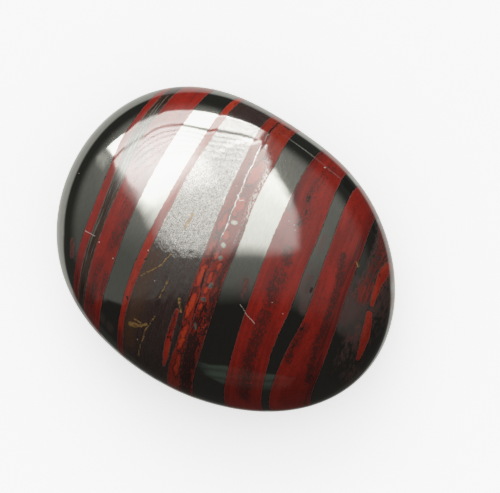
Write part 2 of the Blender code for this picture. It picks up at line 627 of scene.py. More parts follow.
def reckon_vector(tree, operation, first, second=(0, 0, 0)):
    node = add_node(tree, "ShaderNodeVectorMath", {0: first, 1: second}, operation=operation)
    return node.outputs["Value" if operation in ("DOT_PRODUCT", "DISTANCE") else "Vector"]


def ramp(tree, value, low, high, to_low=0.0, to_high=1.0):
    """A soft step from to_low to to_high as the value goes from low to high."""
    inputs = {"Value": value, "From Min": low, "From Max": high, "To Min": to_low, "To Max": to_high}
    node = add_node(tree, "ShaderNodeMapRange", inputs, interpolation_type="SMOOTHSTEP", clamp=False)
    return node.outputs[0]


def mix_colours(tree, share, under, over, blend="MIX"):
    inputs = {0: share, 6: under, 7: over}
    return add_node(tree, "ShaderNodeMix", inputs, data_type="RGBA", blend_type=blend).outputs[2]


def mix_numbers(tree, share, under, over):
    return add_node(tree, "ShaderNodeMix", {0: share, 2: under, 3: over}, data_type="FLOAT").outputs[0]


def read(tree, name, output="Fac"):
    """What the mesh stores under that name."""
    return add_node(tree, "ShaderNodeAttribute", attribute_name=name).outputs[output]


def colour(red, green, blue):
    return (red, green, blue, 1.0)


def finish_of(surface_colour, metal, rough):
    """A finish holds a colour and numbers for the shader."""
    return {"colour": surface_colour, "metal": metal, "rough": rough}


def new_material(name):
    material = bpy.data.materials.new(name)
    material.use_nodes = True
    material.node_tree.nodes.clear()
    return material, material.node_tree


# The socket types of a node group
NUMBER = "NodeSocketFloat"
ARROW = "NodeSocketVector"


def new_group(name, inputs, output):
    """An empty shader node group with one number coming out. inputs pairs each name with a socket type."""
    group = bpy.data.node_groups.new(name, "ShaderNodeTree")
    for label, kind in inputs:
        group.interface.new_socket(label, in_out="INPUT", socket_type=kind)
    group.interface.new_socket(output, in_out="OUTPUT", socket_type=NUMBER)
    start = group.nodes.new("NodeGroupInput")
    end = group.nodes.new("NodeGroupOutput")
    return group, start.outputs, end.inputs[output]


def stretched_grain_group():
    """Noise drawn out along the layers, with the size of its streaks across and along them in millimetres."""
    inputs = (("Strata", ARROW), ("Across", NUMBER), ("Along", NUMBER), ("Detail", NUMBER), ("Shift", ARROW))
    group, given, end = new_group("stretched grain", inputs, "Value")
    size = add_node(group, "ShaderNodeCombineXYZ", {0: given["Across"], 1: given["Along"], 2: given["Along"]})
    scaled = reckon_vector(group, "DIVIDE", given["Strata"], size.outputs[0])
    moved = reckon_vector(group, "ADD", scaled, given["Shift"])
    inputs = {"Vector": moved, "Scale": 1.0, "Detail": given["Detail"]}
    group.links.new(add_node(group, "ShaderNodeTexNoise", inputs).outputs[0], end)
    return group


def ragged_edge_group():
    """Turns a depth inside a layer, in millimetres, into a mask whose edge wavers with a grain."""
    inputs = (("Depth", NUMBER), ("Grain", NUMBER), ("Raggedness", NUMBER), ("Blur", NUMBER))
    group, given, end = new_group("ragged edge", inputs, "Mask")
    centred = reckon(group, "SUBTRACT", given["Grain"], 0.5)
    moved = reckon(group, "MULTIPLY_ADD", centred, given["Raggedness"], given["Depth"])
    below = reckon(group, "MULTIPLY", given["Blur"], -1.0)
    group.links.new(ramp(group, moved, below, given["Blur"]), end)
    return group


# A line is full to the first share of its half width. It and a dot are gone at the second.
LINE_CORE = 0.4
LINE_FADE = 1.5


def streak_group():
    """A fine line from Start along Run, in millimetres. Pace is Run over the square of its length."""
    inputs = (("Spot", ARROW), ("Start", ARROW), ("Run", ARROW), ("Pace", ARROW), ("Half Width", NUMBER))
    group, given, end = new_group("streak", inputs, "Mask")
    apart = reckon_vector(group, "SUBTRACT", given["Spot"], given["Start"])
    ahead = reckon_vector(group, "DOT_PRODUCT", apart, given["Pace"])
    share = reckon(group, "MINIMUM", reckon(group, "MAXIMUM", ahead, 0.0), 1.0)
    foot = add_node(group, "ShaderNodeVectorMath", {0: given["Run"], "Scale": share}, operation="SCALE")
    off = reckon_vector(group, "DISTANCE", apart, foot.outputs[0])
    inner = reckon(group, "MULTIPLY", given["Half Width"], LINE_CORE)
    outer = reckon(group, "MULTIPLY", given["Half Width"], LINE_FADE)
    group.links.new(ramp(group, off, inner, outer, 1.0, 0.0), end)
    return group


def dot_group():
    """A small round spot about Middle, in millimetres, which fades from its middle outwards."""
    inputs = (("Spot", ARROW), ("Middle", ARROW), ("Half Width", NUMBER))
    group, given, end = new_group("dot", inputs, "Mask")
    off = reckon_vector(group, "DISTANCE", given["Spot"], given["Middle"])
    outer = reckon(group, "MULTIPLY", given["Half Width"], LINE_FADE)
    group.links.new(ramp(group, off, 0.0, outer, 1.0, 0.0), end)
    return group


def use_group(tree, group, inputs):
    return add_node(tree, "ShaderNodeGroup", inputs, node_tree=group).outputs[0]


# Grains: size across and along the layers in millimetres, detail, and a shift that parts them from each other
FINE_GRAIN = (0.16, 0.7, 3.0, 0.0)
BEDDING_GRAIN = (0.35, 6.0, 2.0, 7.0)
CLOUD_GRAIN = (1.3, 3.0, 2.0, 13.0)
WRINKLE_GRAIN = (0.2, 0.26, 1.0, 19.0)
CRUMB_GRAIN = (0.17, 0.26, 3.0, 29.0)
LINE_GRAIN = (0.11, 4.0, 1.0, 41.0)
NEEDLE_GRAIN = (0.03, 0.042, 0.0, 53.0)

# Tones: the grain's values at the dark and the light end, and the colours there
HEMATITE_LIGHT = colour(0.24, 0.24, 0.225)
HEMATITE_TONES = (0.3, 0.7, colour(0.215, 0.217, 0.20), HEMATITE_LIGHT)
BROWN_LAYER_TONES = (0.4, 0.6, colour(0.014, 0.006, 0.004), colour(0.045, 0.022, 0.013))
TIGERS_EYE_TONES = (0.3, 0.7, colour(0.024, 0.0085, 0.007), colour(0.042, 0.017, 0.013))
JASPER_TONES = (0.38, 0.62, colour(0.165, 0.0105, 0.0065), colour(0.30, 0.0175, 0.010))
EMBER_TONES = (0.38, 0.62, colour(0.24, 0.015, 0.008), colour(0.42, 0.034, 0.013))
SMOULDER_TONES = (0.4, 0.6, colour(0.065, 0.025, 0.020), colour(0.21, 0.031, 0.023))

# Colours laid over them
SMOKE_TINT = colour(0.20, 0.12, 0.11)
WARM_TINT = colour(0.075, 0.034, 0.016)
NEEDLE_TINT = colour(0.25, 0.245, 0.235)
FADED_JASPER = colour(0.045, 0.010, 0.009)
FADED_EMBER = colour(0.055, 0.012, 0.010)
SEAM_TINT = colour(0.125, 0.065, 0.057)
GAP_TINT = colour(0.075, 0.012, 0.009)
CORE_TINT = colour(0.50, 0.052, 0.016)
BREAK_TINT = colour(0.015, 0.008, 0.007)
GRIT_TINT = colour(0.030, 0.012, 0.010)

# How rough each layer's polish is, and the finishes that are the same all over
HEMATITE_ROUGH = 0.07
JASPER_ROUGH = 0.08
TIGERS_EYE_ROUGH = 0.08
BROWN_LAYER_ROUGH = 0.12
GREEN_FINISH = finish_of(colour(0.15, 0.165, 0.135), metal=0.85, rough=0.14)
EYE_FINISH = finish_of(colour(0.20, 0.21, 0.185), metal=0.9, rough=0.1)
LACE_FINISH = finish_of(HEMATITE_LIGHT, metal=1.0, rough=0.1)
VEIN_FINISH = finish_of(colour(0.28, 0.28, 0.265), metal=1.0, rough=0.1)
CRACK_FINISH = finish_of(GRIT_TINT, metal=0.25, rough=0.14)
GOLD_FINISH = finish_of(colour(0.24, 0.135, 0.04), metal=0.0, rough=0.2)
PALE_FINISH = finish_of(colour(0.5, 0.38, 0.33), metal=0.0, rough=0.35)

# Edges of layers, in millimetres: how ragged, how soft
BROWN_LAYER_EDGE = (0.3, 0.08)
TIGERS_EYE_EDGE = (0.3, 0.12)
JASPER_EDGE = (0.35, 0.11)
STRAND_EDGE = (0.3, 0.06)
EYE_EDGE = (0.55, 0.08)
# How far a grain pushes the islands' edges and the fine lines, in millimetres
ISLAND_RAGGEDNESS = 0.3
LINE_WAVER = 0.5

# Ramps: where they start and end, and what they give there if not 0 and 1
SMOKE_RAMP = (0.32, 0.56, 0.25, 1.0)
SMOKE_METAL_RAMP = (0.0, 1.0, 1.0, 0.75)
GREEN_RAMP = (0.64, 0.8)
NEEDLE_RAMP = (0.48, 0.57)
WORN_RAMP = (0.38, 0.62, 0.35, 1.0)
RED_CLOUD_RAMP = (0.38, 0.54, 0.3, 1.0)
GAP_RAMP = (-0.12, 0.02, 1.0, 0.0)
CORE_RAMP = (0.04, 0.2)
RIM_RAMP = (0.0, 0.09, 1.0, 0.0)
BREAK_RAMP = (2.4, 2.6)
LACE_RAMP = (0.42, 0.6)
GRIT_RAMP = (0.52, 0.71)
VEIN_RAMP = (0.36, 0.56, 0.35, 0.9)
GOLD_RAMP = (0.35, 0.52, 0.15, 0.85)
SILKY_RAMP = (SILKY_FROM, SILKY_FULL, 0.08, 1.0)
SILKY_EDGE_RAMP = (-0.1, 0.1)

# How a finish takes over from the one below as its mask goes from 0 to 1
COLOUR_TURNS = (0.0, 0.8)
METAL_TURNS = (0.15, 1.0)
SEAM_DARKENS = (0.0, 0.3)
SHINE_GOES = (0.2, 0.7)
DULL_COLOUR_TURNS = (0.4, 1.0)

# How much of each the masks let through
GREEN_SHARE = 0.48
WARM_SHARE = 0.7
GAP_SHARE = 0.4
CORE_SHARE = 0.6
RIM_SHARE = 0.9
BREAK_SHARE = 0.92
EYE_SHARE = 0.8
LACE_SHARE = 0.8
GRIT_SHARE = 0.85
CRACK_SHARE = 0.85
SCRATCH_SHARE = 0.55
DOT_SHARE = 0.8

# How far strokes and other grains push a grain
GREEN_PUSH = 0.2
WARM_PUSH = -0.1
WRINKLE_PUSH = 0.22
MOTTLE_PUSH = 0.2

# Shares in which grains are added up
TONE_CRUMB, TONE_BEDDING, TONE_CLOUD = (0.4, 0.3, 0.3)
BREAK_CRUMB, BREAK_FINE = (1.4, 2.6)
GRIT_CRUMB, GRIT_FINE = (0.75, 0.25)

JASPER_IOR = 1.62
SILKY_STRENGTH = 0.28
SILKY_DISTANCE = 0.00002


class Dressing:
    """The stone's node tree, with the grains, groups and stored places that its layers share."""

    def __init__(self, tree):
        self.tree = tree
        self.grain_group = stretched_grain_group()
        self.edge_group = ragged_edge_group()
        self.line_group = streak_group()
        self.spot_group = dot_group()
        self.strata = read(tree, "strata", "Vector")
        spot = read(tree, "spot", "Vector")
        self.flat = reckon_vector(tree, "MULTIPLY", spot, (1, 1, 0))
        below = add_node(tree, "ShaderNodeSeparateXYZ", {0: spot}).outputs["Z"]
        self.upper = ramp(tree, below, THREAD_DEPTH_LIMIT - LINES_FADE_DEPTH, THREAD_DEPTH_LIMIT, 1.0, 0.0)
        self.fine = self.grain(*FINE_GRAIN)
        self.bedding = self.grain(*BEDDING_GRAIN)
        self.cloud = self.grain(*CLOUD_GRAIN)
        self.crumb = self.grain(*CRUMB_GRAIN)
        self.lines = self.grain(*LINE_GRAIN)
        self.wrinkle = self.grain(*WRINKLE_GRAIN)
        waver = self.both(self.centred(self.fine), LINE_WAVER)
        aside = add_node(tree, "ShaderNodeCombineXYZ", {0: waver}).outputs[0]
        self.wavering = reckon_vector(tree, "ADD", self.flat, aside)
        self.rough_edge = self.blend(self.fine, 0.5, self.crumb, 0.5)

    def grain(self, across, along, detail, shift):
        inputs = {
            "Strata": self.strata,
            "Across": across,
            "Along": along,
            "Detail": detail,
            "Shift": (shift, 0, 0),
        }
        return use_group(self.tree, self.grain_group, inputs)

    def both(self, first, second):
        return reckon(self.tree, "MULTIPLY", first, second)

    def centred(self, grain):
        return reckon(self.tree, "SUBTRACT", grain, 0.5)

    def pushed(self, grain, push, amount):
        """The grain with that amount of the push added."""
        return reckon(self.tree, "MULTIPLY_ADD", push, amount, grain)

    def blend(self, first, first_share, second, second_share):
        return self.pushed(self.both(second, second_share), first, first_share)

    def stored(self, name):
        """A depth in millimetres, or a weight from 0 to 1, that the skin stores."""
        return read(self.tree, name)

    def ramp(self, value, limits):
        return ramp(self.tree, value, *limits)

    def edge(self, name, manner):
        """The mask of a stored layer, whose edge is as ragged and as soft as the manner says."""
        raggedness, blur = manner
        inputs = {
            "Depth": self.stored(name),
            "Grain": self.rough_edge,
            "Raggedness": raggedness,
            "Blur": blur,
        }
        return use_group(self.tree, self.edge_group, inputs)

    def tones(self, value, limits_and_colours):
        """A colour that goes from dark to light with the value."""
        low, high, dark, light = limits_and_colours
        return self.tinted(dark, self.ramp(value, (low, high)), light)

    def tinted(self, under, mask, over):
        return mix_colours(self.tree, mask, under, over)

    def turned(self, under, mask, over):
        return mix_numbers(self.tree, mask, under, over)

    def cover_dull(self, mask, under, over):
        """Lays a dull finish over a shiny one.

        Across the seam the face darkens, then its shine goes, then its colour turns.
        """
        gone = self.ramp(mask, SHINE_GOES)
        turned = self.ramp(mask, DULL_COLOUR_TURNS)
        seam = self.tinted(under["colour"], self.ramp(mask, SEAM_DARKENS), SEAM_TINT)
        return finish_of(
            self.tinted(seam, turned, over["colour"]),
            self.turned(under["metal"], gone, over["metal"]),
            self.turned(under["rough"], turned, over["rough"]),
        )

    def cover(self, mask, under, over):
        """Lays one finish over another where the mask is 1. The colour turns before the metal does."""
        late = self.ramp(mask, METAL_TURNS)
        return finish_of(
            self.tinted(under["colour"], self.ramp(mask, COLOUR_TURNS), over["colour"]),
            self.turned(under["metal"], late, over["metal"]),
            self.turned(under["rough"], late, over["rough"]),
        )

    def streaks(self, lines):
        """All the lines of a table in one mask, on the upper side only."""
        mask = 0.0
        for half_width, *places in lines:
            for start, end in zip(places, places[1:]):
                run = np.subtract(end, start)
                pace = run / (run @ run)
                inputs = {
                    "Spot": self.wavering,
                    "Start": (*start, 0),
                    "Run": (*run, 0),
                    "Pace": (*pace, 0),
                    "Half Width": half_width,
                }
                mask = reckon(self.tree, "MAXIMUM", use_group(self.tree, self.line_group, inputs), mask)
        return self.both(mask, self.upper)

    def dots(self, table):
        mask = 0.0
        for half_width, across, along in table:
            inputs = {"Spot": self.flat, "Middle": (across, along, 0), "Half Width": half_width}
            mask = reckon(self.tree, "MAXIMUM", use_group(self.tree, self.spot_group, inputs), mask)
        return self.both(mask, self.upper)


def hematite_finish(dress):
    grey = dress.tones(dress.fine, HEMATITE_TONES)
    smoke = dress.both(dress.stored("smoky"), dress.ramp(dress.cloud, SMOKE_RAMP))
    metal = dress.ramp(smoke, SMOKE_METAL_RAMP)
    return finish_of(dress.tinted(grey, smoke, SMOKE_TINT), metal, HEMATITE_ROUGH)


def lay_brown_layer(dress, face):
    """The dark layer at the left, full of fine lines, with a greenish shine along some of them."""
    layer = dress.edge("brown_layer", BROWN_LAYER_EDGE)
    brown = dress.tones(dress.lines, BROWN_LAYER_TONES)
    face = dress.cover(layer, face, finish_of(brown, 0.0, BROWN_LAYER_ROUGH))
    green = dress.pushed(dress.lines, dress.stored("green"), GREEN_PUSH)
    green = dress.both(dress.ramp(green, GREEN_RAMP), layer)
    return dress.cover(dress.both(green, GREEN_SHARE), face, GREEN_FINISH)


def lay_tigers_eye(dress, face):
    """Brown quartz full of hematite needles finer than the eye can part, so its shine is weaker."""
    warm = dress.stored("warm")
    needles = dress.pushed(dress.grain(*NEEDLE_GRAIN), dress.centred(dress.wrinkle), WRINKLE_PUSH)
    shine = dress.ramp(dress.pushed(needles, warm, WARM_PUSH), NEEDLE_RAMP)
    brown = dress.tones(dress.bedding, TIGERS_EYE_TONES)
    brown = dress.tinted(brown, dress.both(warm, WARM_SHARE), WARM_TINT)
    tint = dress.tinted(brown, shine, NEEDLE_TINT)
    eye = dress.edge("tigers_eye", TIGERS_EYE_EDGE)
    return dress.cover(eye, face, finish_of(tint, shine, TIGERS_EYE_ROUGH))


def jasper_finish(dress, tone, tones, faded_tint):
    red = dress.tones(tone, tones)
    worn = dress.both(dress.stored("faded"), dress.ramp(dress.lines, WORN_RAMP))
    return finish_of(dress.tinted(red, worn, faded_tint), 0.0, JASPER_ROUGH)


def lay_red_clouds(dress, face):
    """Clouds of red in the hematite."""
    smoulder = dress.tones(dress.blend(dress.lines, 0.5, dress.fine, 0.5), SMOULDER_TONES)
    uneven = dress.ramp(dress.blend(dress.cloud, 0.5, dress.fine, 0.5), RED_CLOUD_RAMP)
    clouds = dress.both(dress.stored("red_cloud"), uneven)
    return dress.cover(clouds, face, finish_of(smoulder, 0.0, JASPER_ROUGH))


def break_up_strands(dress, tint, strands, bright):
    """Bright islands with dark rims, duller between them, and dark breaks across the strands."""
    depth = dress.pushed(dress.stored("islands"), dress.centred(dress.crumb), ISLAND_RAGGEDNESS)
    from_rim = reckon(dress.tree, "ABSOLUTE", depth)
    broken = dress.blend(dress.crumb, BREAK_CRUMB, dress.fine, BREAK_FINE)
    broken = reckon(dress.tree, "ADD", broken, dress.stored("strand_gaps"))
    for value, limits, area, share, over in (
        (depth, GAP_RAMP, strands, GAP_SHARE, GAP_TINT),
        (depth, CORE_RAMP, strands, CORE_SHARE, CORE_TINT),
        (from_rim, RIM_RAMP, strands, RIM_SHARE, GRIT_TINT),
        (broken, BREAK_RAMP, bright, BREAK_SHARE, BREAK_TINT),
    ):
        mask = dress.both(dress.ramp(value, limits), area)
        tint = dress.tinted(tint, dress.both(mask, share), over)
    return tint


def lay_strands(dress, face, tone):
    """The bright seam, the lenses, and the two strands that are broken into islands."""
    bright = dress.edge("bright_jasper", JASPER_EDGE)
    face = dress.cover_dull(bright, face, jasper_finish(dress, tone, EMBER_TONES, FADED_EMBER))
    strands = dress.both(dress.edge("strands", STRAND_EDGE), bright)
    tint = break_up_strands(dress, face["colour"], strands, bright)
    face = finish_of(tint, face["metal"], face["rough"])
    eyes = dress.both(dress.edge("eyes", EYE_EDGE), strands)
    face = dress.cover(dress.both(eyes, EYE_SHARE), face, EYE_FINISH)
    lace = dress.both(dress.stored("lace"), dress.ramp(dress.crumb, LACE_RAMP))
    lace = dress.both(lace, strands)
    return dress.cover(dress.both(lace, LACE_SHARE), face, LACE_FINISH), bright


def lay_grit(dress, face, red_area):
    """Dark crumbs in the red, thick along some seams and rare elsewhere."""
    crowd = dress.blend(dress.crumb, GRIT_CRUMB, dress.fine, GRIT_FINE)
    crowd = dress.pushed(crowd, dress.stored("mottled"), MOTTLE_PUSH)
    shade = dress.both(dress.ramp(crowd, GRIT_RAMP), red_area)
    tint = dress.tinted(face["colour"], dress.both(shade, GRIT_SHARE), GRIT_TINT)
    return finish_of(tint, face["metal"], face["rough"])


def lay_lines(dress, face):
    """Veins, cracks, gold threads, scratches and pale dots."""
    for mask, share, over in (
        (dress.streaks(HEMATITE_VEINS), dress.ramp(dress.fine, VEIN_RAMP), VEIN_FINISH),
        (dress.streaks(DARK_CRACKS), CRACK_SHARE, CRACK_FINISH),
        (dress.streaks(GOLD_THREADS), dress.ramp(dress.crumb, GOLD_RAMP), GOLD_FINISH),
        (dress.streaks(PALE_SCRATCHES), SCRATCH_SHARE, PALE_FINISH),
        (dress.dots(PALE_DOTS), DOT_SHARE, PALE_FINISH),
    ):
        face = dress.cover(dress.both(mask, share), face, over)
    return face


def silky_bump(dress):
    """The tiger's-eye polishes to a fine wrinkle, which dies away towards its top."""
    along = add_node(dress.tree, "ShaderNodeSeparateXYZ", {0: dress.flat}).outputs["Y"]
    silky = dress.both(dress.wrinkle, dress.ramp(along, SILKY_RAMP))
    silky = dress.both(silky, dress.ramp(dress.stored("tigers_eye"), SILKY_EDGE_RAMP))
    inputs = {"Height": silky, "Strength": SILKY_STRENGTH, "Distance": SILKY_DISTANCE}
    return add_node(dress.tree, "ShaderNodeBump", inputs).outputs[0]


def stone_material():
    material, tree = new_material("polished mugglestone")
    dress = Dressing(tree)
    tone = dress.blend(dress.bedding, TONE_BEDDING, dress.cloud, TONE_CLOUD)
    tone = dress.pushed(tone, dress.crumb, TONE_CRUMB)
    face = lay_brown_layer(dress, hematite_finish(dress))
    face = lay_tigers_eye(dress, face)
    face = lay_red_clouds(dress, face)
    bands = dress.edge("jasper", JASPER_EDGE)
    face = dress.cover_dull(bands, face, jasper_finish(dress, tone, JASPER_TONES, FADED_JASPER))
    face, bright = lay_strands(dress, face, tone)
    face = lay_grit(dress, face, reckon(tree, "MAXIMUM", bands, bright))
    face = lay_lines(dress, face)
    inputs = {
        "Base Color": face["colour"],
        "Metallic": face["metal"],
        "Roughness": face["rough"],
        "IOR": JASPER_IOR,
        "Normal": silky_bump(dress),
    }
    end_tree(tree, add_node(tree, "ShaderNodeBsdfPrincipled", inputs))
    return material


# The camera looks straight down, and the picture is turned against the stone's long axis
PICTURE_TURN = math.radians(40)
PICTURE_RIGHT = Vector((math.cos(PICTURE_TURN), math.sin(PICTURE_TURN), 0))
PICTURE_UP = Vector((-math.sin(PICTURE_TURN), math.cos(PICTURE_TURN), 0))
CAMERA_RIGHT = 0.002395
CAMERA_UP = 0.000937
CAMERA_REACH = 1.0
CAMERA_NEAREST = 0.01
CAMERA_FURTHEST = 10
LENS_MM = 691.6
SENSOR_MM = 36


def place_camera():
    data = bpy.data.cameras.new("camera")
    data.lens = LENS_MM
    data.sensor_width = SENSOR_MM
    data.dof.use_dof = False
    data.clip_start = CAMERA_NEAREST
    data.clip_end = CAMERA_FURTHEST
    camera = bpy.data.objects.new("camera", data)
    bpy.context.scene.collection.objects.link(camera)
    camera.location = PICTURE_RIGHT * CAMERA_RIGHT + PICTURE_UP * CAMERA_UP
    camera.location.z = GIRDLE_HEIGHT + CAMERA_REACH
    camera.rotation_euler = (0, 0, PICTURE_TURN)
    bpy.context.scene.camera = camera


# The studio

ROOM_RADIUS = 3.0
NEARER_RADIUS = 2.7
FLOOR_SIZE = 12.0
FLOOR_GAP = 0.00002
FLOOR_GREY = 0.62
FLOOR_ROUGH = 0.6
FLOOR_GLOW = 2.3
FLOOR_SHADE_REACH = 0.03
BACKDROP_GLOW = 2.9
STRAY_LIGHT = 0.25

DAYLIGHT = colour(1, 1, 0.94)
SLAT_TINT = colour(0.3, 0.3, 0.28)
BLACK_BOARD_TINT = colour(0.045, 0.043, 0.04)
TEAL_TINT = colour(0.095, 0.135, 0.11)
ROOM_TINT = colour(1.0, 1.0, 0.93)

# Places in the room are angles from straight up, in degrees: towards the picture's right and towards its top.
# The bar between the window's two panes
WINDOW_BAR = (
    (-51.4, 40.3),
    (-43.3, 44.2),
    (-37.9, 47.9),
    (-28.2, 54.1),
    (-21.9, 57.5),
    (-15.3, 59.1),
    (-8.9, 59.5),
    (3.5, 58.4),
    (13.0, 59.4),
    (23.0, 61.5),
    (38.7, 65.4),
)
BAR_HALF_WIDTH = 1.5
# The softness and the brightness of the panes beside the bar
BAR_EDGE = (0.7, 16)

# Panes: right, up and brightness of the middle, then outlines of right, up, softness and brightness
PANE_MIDDLE = (0, 33, 7.5)
PANE_RIGHT = (
    (40.2, 67, 1, 12),
    (34.5, 52, 3, 12),
    (32, 44, 4, 11),
    (31.5, 36, 5, 9.5),
    (33, 23, 5, 6),
    (29.8, 9.5, 4, 5),
)
PANE_FOOT = (
    (25, 6.3, 3, 4),
    (14, 4.6, 5, 4),
    (6, 3.6, 5, 4),
    (-4, 0.5, 5, 4),
    (-13, -0.5, 5, 4),
    (-19, 1.5, 7, 4),
)
PANE_LEFT = ((-24, 9.5, 8, 5), (-29, 16.5, 4, 8), (-35, 23.2, 2, 14), (-42.5, 31.2, 2, 18))
STRIP_MIDDLE = (-6, 68, 13)
STRIP_HEAD = (
    (48.2, 80.7, 1.5, 11),
    (38.6, 79.5, 1.5, 11),
    (18.5, 79.5, 1.5, 12),
    (0, 79, 1.5, 13),
    (-19.6, 77, 1.5, 13),
    (-36.1, 68.7, 1.5, 12),
    (-51.8, 58.3, 2, 11),
    (-62.6, 52.5, 3, 10),
)

# The slats of a blind, which repeat the bar: how far below it, in degrees. They thin out on the way down.
SLAT_DROPS = (4.4, 8.2, 12.0, 15.8, 19.6)
SLAT_WIDTH = 1.7
SLAT_SHADE = 0.95
SLAT_FADE = 28.0
SLAT_NARROWING = 90.0

# Soft glows: the middle, the softness of the edge, and the outline
SOFT_GLOWS = {
    "window_halo": (
        (0, 30, 0.18),
        18,
        (
            (46, 70),
            (44, 40),
            (44, 16),
            (30, 0),
            (8, -7),
            (-14, -8),
            (-36, 2),
            (-46, 22),
            (-58, 36),
            (-30, 62),
            (10, 68),
        ),
    ),
    "left_blob": ((-62, 43, 0.9), 7, ((-55, 41), (-58, 47), (-66, 51), (-72, 49), (-66, 42), (-58, 36))),
    "pane_gain": ((-14, 42, 14), 18, ((-2, 52), (-20, 55), (-38, 45), (-37, 30), (-24, 18), (0, 30))),
}
# A thin bright line at the upper right
TOP_LINE = ((58, 93), (64, 88), (71.2, 82.8), (75.6, 78.5), (86, 75), (96.5, 72.5), (101, 68))
TOP_LINE_WIDTH = 2.0
TOP_LINE_GLOW = 1.1
# Across a thin strip: the share of its width, and of its brightness
RIBBON_ROWS = ((0.0, 0.0), (0.3, 1.0), (0.7, 1.0), (1.0, 0.0))

# Dark boards: the middle, how dark, and outlines of right, up and softness of the edge
DARK_BOARDS = {
    "low_board": (
        (0, -80),
        1.0,
        (
            (-78, -50, 5),
            (-60, -39.5, 2.5),
            (-48, -37.8, 2.5),
            (-25, -24, 6),
            (-10, -18, 9),
            (2, -14, 10),
            (14, -14, 10),
            (28, -15, 12),
            (46, -22, 14),
            (66, -36, 12),
            (88, -52, 8),
            (98, -80, 6),
            (75, -112, 6),
            (35, -142, 6),
            (0, -150, 6),
            (-40, -136, 6),
            (-75, -106, 6),
            (-92, -74, 6),
        ),
    ),
    "end_board": (
        (102, -45),
        1.0,
        (
            (74, -42, 8),
            (90, -33, 8),
            (103, -17, 7),
            (110, -4, 4),
            (110, 10, 4),
            (123, 12, 3),
            (127, -20, 3),
            (120, -58, 4),
            (100, -92, 6),
            (84, -78, 8),
        ),
    ),
    "side_board": (
        (98, 55),
        1.0,
        (
            (84, 66.5, 3),
            (92, 61.5, 3),
            (100, 45, 4),
            (107, 37, 4),
            (116, 36, 4),
            (112, 62, 4),
            (98, 84, 4),
            (90, 80, 5),
        ),
    ),
    "wedge_board": (
        (92, 0),
        0.62,
        (
            (85, 28, 3),
            (107, 38, 3),
            (118, 20, 4),
            (118, -20, 6),
            (102, -48, 8),
            (70, -46, 14),
            (48, -30, 16),
            (44, -14, 16),
            (60, 4, 14),
        ),
    ),
}

# A teal card: columns of foot, head and brightness, and rows of height and brightness
TEAL_CARD = (
    ((-28, -92), (-24, -64.5), 0.0),
    ((-20, -92), (-18, -62.5), 0.9),
    ((-9, -92), (-9, -59.6), 1.0),
    ((3, -92), (3, -55.4), 1.0),
    ((9, -92), (9, -53), 1.0),
    ((20, -92), (20, -55.5), 1.0),
    ((34, -92), (34, -58), 0.6),
    ((46, -92), (46, -60), 0.0),
)
TEAL_ROWS = (
    (0.0, 0.0),
    (0.2, 0.35),
    (0.34, 0.75),
    (0.42, 0.35),
    (0.55, 1.0),
    (0.66, 0.8),
    (0.74, 0.45),
    (0.84, 0.95),
    (0.97, 0.8),
    (1.0, 0.0),
)


def towards(right, up, reach=ROOM_RADIUS):
    """The place in the room that lies at those angles from straight up, seen from the stone."""
    angle = math.radians(math.hypot(right, up))
    side = (PICTURE_RIGHT * right + PICTURE_UP * up).normalized()
    return (side * math.sin(angle) + Vector((0, 0, math.cos(angle)))) * reach


def between(start, end, share):
    return [a + (b - a) * share for a, b in zip(start, end)]


def hang_card(name, places, faces, glow, material):
    """Puts up a sheet that only the polish mirrors, with its brightness or darkness stored at each corner."""
    mesh = bpy.data.meshes.new(name)
    mesh.from_pydata(places, [], faces)
    keep(mesh, "glow", glow)
    mesh.materials.append(material)
    card = bpy.data.objects.new(name, mesh)
    bpy.context.scene.collection.objects.link(card)
    card.visible_camera = False
    card.visible_diffuse = False
    card.visible_shadow = False


def make_sheet(name, middle, outline, material):
    """A sheet with a soft edge. Its middle has right, up and glow, and its outline softness as well."""
    *centre, middle_glow = middle
    places = [towards(*centre)]
    glow = [middle_glow]
    for right, up, softness, edge_glow in outline:
        span = math.hypot(right - centre[0], up - centre[1])
        for share, level in ((1 - softness / 2 / span, edge_glow), (1 + softness / 2 / span, 0.0)):
            places.append(towards(*between(centre, (right, up), share)))
            glow.append(level)
    faces = []
    count = len(outline)
    for index in range(count):
        inner = 1 + 2 * index
        next_inner = 1 + 2 * ((index + 1) % count)
        faces.append((0, inner, next_inner))
        faces.append((inner, inner + 1, next_inner + 1, next_inner))
    hang_card(name, places, faces, glow, material)


def make_rows(name, columns, rows, material, reach):
    """A sheet of columns, each with a foot, a head and a glow, and rows, each with a height and a glow."""
    places = []
    glow = []
    for share, row_glow in rows:
        for foot, head, column_glow in columns:
            places.append(towards(*between(foot, head, share), reach))
            glow.append(row_glow * column_glow)
    wide = len(columns)
    faces = []
    for row in range(len(rows) - 1):
        for column in range(wide - 1):
            corner = row * wide + column
            faces.append((corner, corner + 1, corner + wide + 1, corner + wide))
    hang_card(name, places, faces, glow, material)


def make_ribbon(name, line, width, level, material, reach):
    """A thin strip along a line, clear at its ends."""
    columns = []
    for index, (right, up) in enumerate(line):
        at_end = index in (0, len(line) - 1)
        columns.append(((right, up - width), (right, up), 0.0 if at_end else level))
    make_rows(name, columns, RIBBON_ROWS, material, reach)


def light_material(name, tint):
    """Light that adds to whatever lies behind it."""
    material, tree = new_material(name)
    clear = add_node(tree, "ShaderNodeBsdfTransparent")
    light = add_node(tree, "ShaderNodeEmission", {"Color": tint, "Strength": read(tree, "glow")})
    end_tree(tree, add_node(tree, "ShaderNodeAddShader", {0: clear.outputs[0], 1: light.outputs[0]}))
    return material


